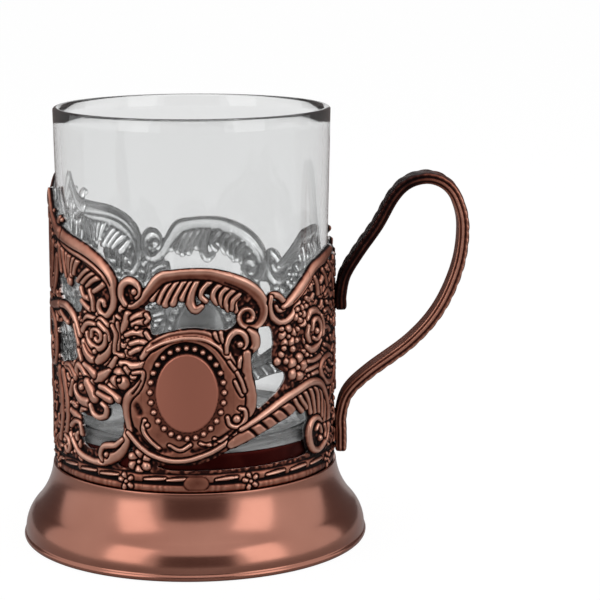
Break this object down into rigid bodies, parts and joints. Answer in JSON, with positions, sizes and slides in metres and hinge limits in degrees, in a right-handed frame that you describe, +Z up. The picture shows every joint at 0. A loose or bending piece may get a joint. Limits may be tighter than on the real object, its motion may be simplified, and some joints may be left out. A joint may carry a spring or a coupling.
{
  "type": "tea glass with holder",
  "caption": "Clear tea glass standing in an openwork antique-copper metal holder with a medallion, a spun bell foot and an ear-shaped handle, empty",
  "frame": {"origin": "on the axis of the glass, in the plane that the foot stands on", "axes": "+Z up along the axis, +X towards the handle, -Y the shown front with the medallion"},
  "size_m": [0.1153, 0.0892, 0.1113],
  "materials": {
    "clear_glass": "clear pressed glass, fire-polished lip",
    "antique_copper": "cast metal plated antique copper: polished salmon-copper high spots, brown-black recesses",
    "satin_copper": "spun metal plated antique copper, satin-brushed round the axis",
    "dark_copper": "pressed metal in dark unpolished copper patina"
  },
  "bodies": {
    "root": {"glass": "clear_glass", "sleeve": "antique_copper", "tray": "dark_copper", "foot": "satin_copper", "handle": "antique_copper"}
  },
  "joints": []
}
